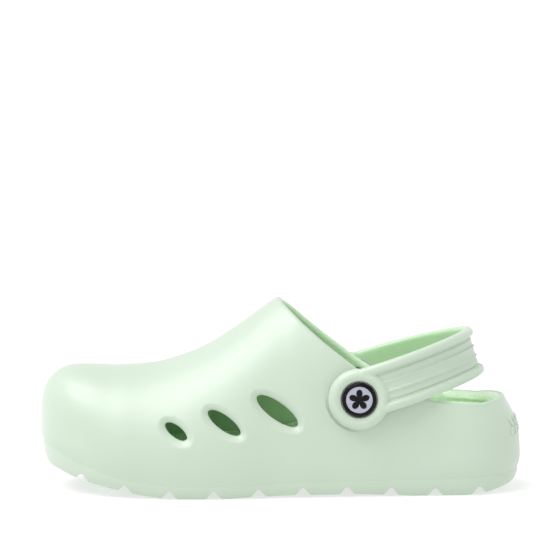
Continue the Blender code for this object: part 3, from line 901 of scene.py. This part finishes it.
def node(tree, kind, inputs=None, **settings):
    """A new node with some of its sockets and settings given."""
    made = tree.nodes.new(kind)
    for key, value in settings.items():
        setattr(made, key, value)
    for key, value in (inputs or {}).items():
        made.inputs[key].default_value = value
    return made


def noise(tree, scale, detail=3.0, roughness=0.5):
    """Noise in object space. scale is in features per metre."""
    place = node(tree, "ShaderNodeTexCoord")
    made = node(tree, "ShaderNodeTexNoise", {"Scale": scale, "Detail": detail, "Roughness": roughness})
    tree.links.new(place.outputs["Object"], made.inputs["Vector"])
    return made.outputs["Fac"]


def ramp(tree, source, stops):
    """Colours from a 0 to 1 value, through (position, colour) stops."""
    made = node(tree, "ShaderNodeValToRGB")
    elements = made.color_ramp.elements
    for element, (position, colour) in zip(elements, stops):
        element.position = position
        element.color = (*colour, 1)
    tree.links.new(source, made.inputs["Fac"])
    return made.outputs["Color"]


def remapped(tree, source, low, high):
    """A noise value spread over the range from low to high."""
    made = node(tree, "ShaderNodeMapRange", {"From Min": 0.3, "From Max": 0.7, "To Min": low, "To Max": high})
    tree.links.new(source, made.inputs["Value"])
    return made.outputs["Result"]


def bumped(tree, source, distance, strength, under=None):
    """A bump of that height, in metres, laid over the bump under it."""
    made = node(tree, "ShaderNodeBump", {"Distance": distance, "Strength": strength})
    tree.links.new(source, made.inputs["Height"])
    if under:
        tree.links.new(under, made.inputs["Normal"])
    return made.outputs["Normal"]


def start_material(name, sockets):
    material = bpy.data.materials.new(name)
    material.use_nodes = True
    shader = material.node_tree.nodes["Principled BSDF"]
    for key, value in sockets.items():
        shader.inputs[key].default_value = value
    return material, material.node_tree, shader


def towards_heel(tree):
    """0 under the instep, rising to 1 in the heel."""
    place = node(tree, "ShaderNodeTexCoord")
    split = node(tree, "ShaderNodeSeparateXYZ")
    share = node(tree, "ShaderNodeMapRange", {"From Min": 0.0, "From Max": 0.07, "To Min": 0, "To Max": 1})
    tree.links.new(place.outputs["Object"], split.inputs["Vector"])
    tree.links.new(split.outputs["X"], share.inputs["Value"])
    return share.outputs["Result"]


def painted_light_at_heel(tree, colour, pale):
    """The colour, turning paler from the instep back to the heel: painted light on the heel's inside wall,
    which is open to the light.
    """
    mix = node(tree, "ShaderNodeMix", data_type="RGBA")
    mix.inputs["B"].default_value = (*pale, 1)
    tree.links.new(towards_heel(tree), mix.inputs["Factor"])
    tree.links.new(colour, mix.inputs["A"])
    return mix.outputs["Result"]


def nub_height(tree, heel_only):
    """Rows of small domes, 0 between them and 1 on top. They fade out ahead of the heel if heel_only."""
    place = node(tree, "ShaderNodeTexCoord")
    rows = {"Scale": 1000 / NUB_PITCH, "Randomness": 0.15}
    cells = node(tree, "ShaderNodeTexVoronoi", rows, feature="SMOOTH_F1")
    domes = node(tree, "ShaderNodeMapRange", {"From Min": 0.15, "From Max": 0.6, "To Min": 1, "To Max": 0})
    domes.interpolation_type = "SMOOTHSTEP"
    tree.links.new(place.outputs["Object"], cells.inputs["Vector"])
    tree.links.new(cells.outputs["Distance"], domes.inputs["Value"])
    if not heel_only:
        return domes.outputs["Result"]
    faded = node(tree, "ShaderNodeMath", operation="MULTIPLY")
    tree.links.new(domes.outputs["Result"], faded.inputs[0])
    tree.links.new(towards_heel(tree), faded.inputs[1])
    return faded.outputs["Value"]


def moulded_rubber(name, tints, nubs=False, heel=None):
    """Matt foamed rubber: a slightly uneven tint, a fine moulded grain, where asked for rows of nubs, and where
    given a paler tint towards the heel that is painted light.
    """
    light, deep = tints
    material, tree, shader = start_material(name, {"Specular IOR Level": 1.0, "Sheen Weight": 0.35})
    shader.inputs["Sheen Roughness"].default_value = 0.45
    colour = ramp(tree, noise(tree, 38, 4), ((0.3, deep), (0.7, light)))
    # Painted light: the tint turns paler towards the heel.
    if heel:
        colour = painted_light_at_heel(tree, colour, heel)
    tree.links.new(colour, shader.inputs["Base Color"])
    tree.links.new(remapped(tree, noise(tree, 900, 2), 0.42, 0.52), shader.inputs["Roughness"])
    waves = bumped(tree, noise(tree, 60, 2), 0.0006, 0.12)
    normal = bumped(tree, noise(tree, 1900, 3, 0.6), 0.00006, 0.6, waves)
    if nubs:
        normal = bumped(tree, nub_height(tree, bool(heel)), 0.0005, 0.6, normal)
    tree.links.new(normal, shader.inputs["Normal"])
    return material


def gloss_plastic(name):
    """Black injection-moulded plastic, polished, with faint swirls."""
    material, tree, shader = start_material(name, {"Specular IOR Level": 0.12})
    colour = ramp(tree, noise(tree, 300, 2), ((0.3, (0.004, 0.004, 0.005)), (0.7, (0.009, 0.009, 0.01))))
    tree.links.new(colour, shader.inputs["Base Color"])
    tree.links.new(remapped(tree, noise(tree, 700, 2), 0.16, 0.28), shader.inputs["Roughness"])
    tree.links.new(bumped(tree, noise(tree, 500, 2), 0.00003, 0.25), shader.inputs["Normal"])
    return material


def satin_silver(name):
    """Silver-grey metallic paint with a fine flake."""
    material, tree, shader = start_material(name, {"Metallic": 0.55, "Specular IOR Level": 0.5})
    colour = ramp(tree, noise(tree, 2600, 1), ((0.35, (0.36, 0.38, 0.44)), (0.65, (0.46, 0.49, 0.56))))
    tree.links.new(colour, shader.inputs["Base Color"])
    tree.links.new(remapped(tree, noise(tree, 1500, 2), 0.38, 0.5), shader.inputs["Roughness"])
    tree.links.new(bumped(tree, noise(tree, 3000, 1), 0.00002, 0.3), shader.inputs["Normal"])
    return material


# ---- Stage -------------------------------------------------------------------------------------------


def make_floor():
    """A white table lit a little from below, so that the shadow under the clog stays pale."""
    shape = bmesh.new()
    across = TABLE_HALF_WIDTH
    corners = ((-across, -across), (across, -across), (across, across), (-across, across))
    shape.faces.new(add_ring(shape, [(x, y, -FLOOR_GAP) for x, y in corners]))
    sockets = {"Roughness": 0.9, "Specular IOR Level": 0.1, "Emission Color": (1, 1, 1, 1)}
    material, tree, shader = start_material("white_table", sockets | {"Emission Strength": TABLE_GLOW})
    colour = ramp(tree, noise(tree, 3, 2), ((0.3, (0.4, 0.4, 0.4)), (0.7, (0.42, 0.42, 0.42))))
    tree.links.new(colour, shader.inputs["Base Color"])
    new_piece("studio_floor", shape, [material])


def make_key_light():
    """One broad soft light, high up and towards the toe."""
    data = bpy.data.lights.new("soft_key", "SUN")
    data.energy = KEY_STRENGTH
    data.angle = KEY_SPREAD
    data.color = KEY_COLOUR
    light = bpy.data.objects.new("soft_key", data)
    light.rotation_euler = Vector(KEY_FROM).to_track_quat("Z", "Y").to_euler()
    bpy.context.scene.collection.objects.link(light)


def make_world():
    """A white studio: bright low down round the horizon, dimmer overhead."""
    world = bpy.data.worlds.new("studio")
    world.use_nodes = True
    tree = world.node_tree
    background = tree.nodes["Background"]
    background.inputs["Color"].default_value = (1, 1, 1, 1)
    direction = node(tree, "ShaderNodeTexCoord")
    split = node(tree, "ShaderNodeSeparateXYZ")
    fade = {"From Min": 0.2, "From Max": 0.45, "To Min": HORIZON_LIGHT, "To Max": OVERHEAD_LIGHT}
    strength = node(tree, "ShaderNodeMapRange", fade)
    tree.links.new(direction.outputs["Generated"], split.inputs["Vector"])
    tree.links.new(split.outputs["Z"], strength.inputs["Value"])
    tree.links.new(strength.outputs["Result"], background.inputs["Strength"])
    bpy.context.scene.world = world


def make_camera():
    data = bpy.data.cameras.new("camera")
    data.lens = CAMERA_LENS
    data.sensor_width = 36
    camera = bpy.data.objects.new("camera", data)
    target = Vector(CAMERA_TARGET)
    back = Vector((0, -math.cos(CAMERA_ELEVATION), math.sin(CAMERA_ELEVATION)))
    camera.location = target + back * CAMERA_DISTANCE
    camera.rotation_euler = (-back).to_track_quat("-Z", "Y").to_euler()
    bpy.context.scene.collection.objects.link(camera)
    bpy.context.scene.camera = camera


def make_stage():
    make_floor()
    make_world()
    make_key_light()
    make_camera()
    bpy.context.scene.view_settings.view_transform = "Standard"


# ---- Everything together -----------------------------------------------------------------------------


def main():
    mint = moulded_rubber("mint_rubber", MINT)
    # The inside rubbers are the mint made greener: painted bounce light, and in the body also painted light
    # towards the heel.
    inside = moulded_rubber("strap_inner_rubber_painted_bounce", STRAP_INSIDE_PAINTED_BOUNCE)
    inside_painted_light = moulded_rubber("body_inner_rubber_painted_light", BODY_INSIDE_PAINTED_BOUNCE, True, HEEL_INSIDE_PAINTED_LIGHT)
    footbed = moulded_rubber("footbed_rubber", FOOTBED_GREEN, True)
    black = gloss_plastic("black_plastic")
    silver = satin_silver("silver_paint")
    make_body(mint, inside_painted_light)
    make_outsole(mint)
    make_footbed(footbed)
    make_strap(mint, inside)
    make_rivets(black, silver)
    make_stage()


main()
